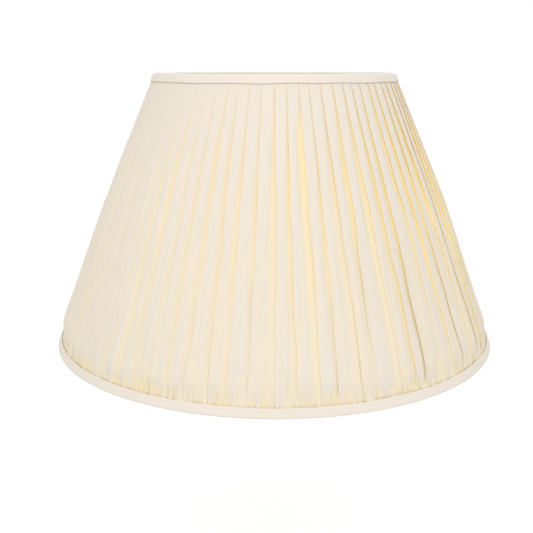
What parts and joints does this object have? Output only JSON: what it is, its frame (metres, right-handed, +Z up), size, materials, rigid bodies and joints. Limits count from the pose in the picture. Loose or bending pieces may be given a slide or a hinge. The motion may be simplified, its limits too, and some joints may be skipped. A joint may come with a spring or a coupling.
{
  "type": "pleated lamp shade",
  "caption": "Empire lamp shade with a pleated cloth cover over a wound wire frame, cloth lining, bound rims and a swivelling gimbal fitter with a removable reducer.",
  "frame": {"origin": "on the shade's axis, level with the foot of the bottom rim, which is the centre of the bottom of its bounding box", "axes": "+Z up the shade's axis towards the small rim, +X along the gimbal's pivots, +Y towards the back"},
  "size_m": [0.4498, 0.4497, 0.27],
  "materials": {
    "cover_cloth": "matt ivory plain weave with occasional slubs",
    "binding_cloth": "matt ivory weave cut on the bias",
    "lining_cloth": "smooth pale satin-backed cloth",
    "wound_tape": "matt cotton tape",
    "frame_wire": "white powder coat",
    "gimbal_paint": "white powder coat",
    "pivot_steel": "zinc plated",
    "reducer_plastic": "white heat-resistant plastic"
  },
  "bodies": {
    "shade": {"bottom_ring": "frame_wire", "top_ring": "frame_wire", "strut_1": "frame_wire", "strut_2": "frame_wire", "strut_3": "frame_wire", "strut_4": "frame_wire", "strut_5": "frame_wire", "strut_6": "frame_wire", "strut_7": "frame_wire", "strut_8": "frame_wire", "bottom_ring_tape": "wound_tape", "top_ring_tape": "wound_tape", "strut_tape_left": "wound_tape", "strut_tape_right": "wound_tape", "cover_panel_back": "cover_cloth", "cover_panel_left": "cover_cloth", "cover_panel_front": "cover_cloth", "cover_panel_right": "cover_cloth", "lining_back": "lining_cloth", "lining_front": "lining_cloth", "lug_sleeve_left": "lining_cloth", "lug_sleeve_right": "lining_cloth", "bottom_binding": "binding_cloth", "top_binding": "binding_cloth", "gimbal_lug_left": "gimbal_paint", "pivot_washer_left": "pivot_steel", "pivot_rivet_left": "pivot_steel", "gimbal_lug_right": "gimbal_paint", "pivot_washer_right": "pivot_steel", "pivot_rivet_right": "pivot_steel"},
    "gimbal": {"gimbal_arm_left": "gimbal_paint", "gimbal_arm_right": "gimbal_paint", "fitter_ring": "gimbal_paint"},
    "reducer": {"reducer_ring": "reducer_plastic"}
  },
  "joints": [
    {"name": "gimbal_tilt", "type": "hinge", "parent": "shade", "child": "gimbal", "pos_m": [0, 0, 0.257], "axis": [1, 0, 0], "continuous": true},
    {"name": "reducer_lift", "type": "slide", "parent": "gimbal", "child": "reducer", "axis": [0, 0, 1], "range_m": [0, 0.06]}
  ]
}
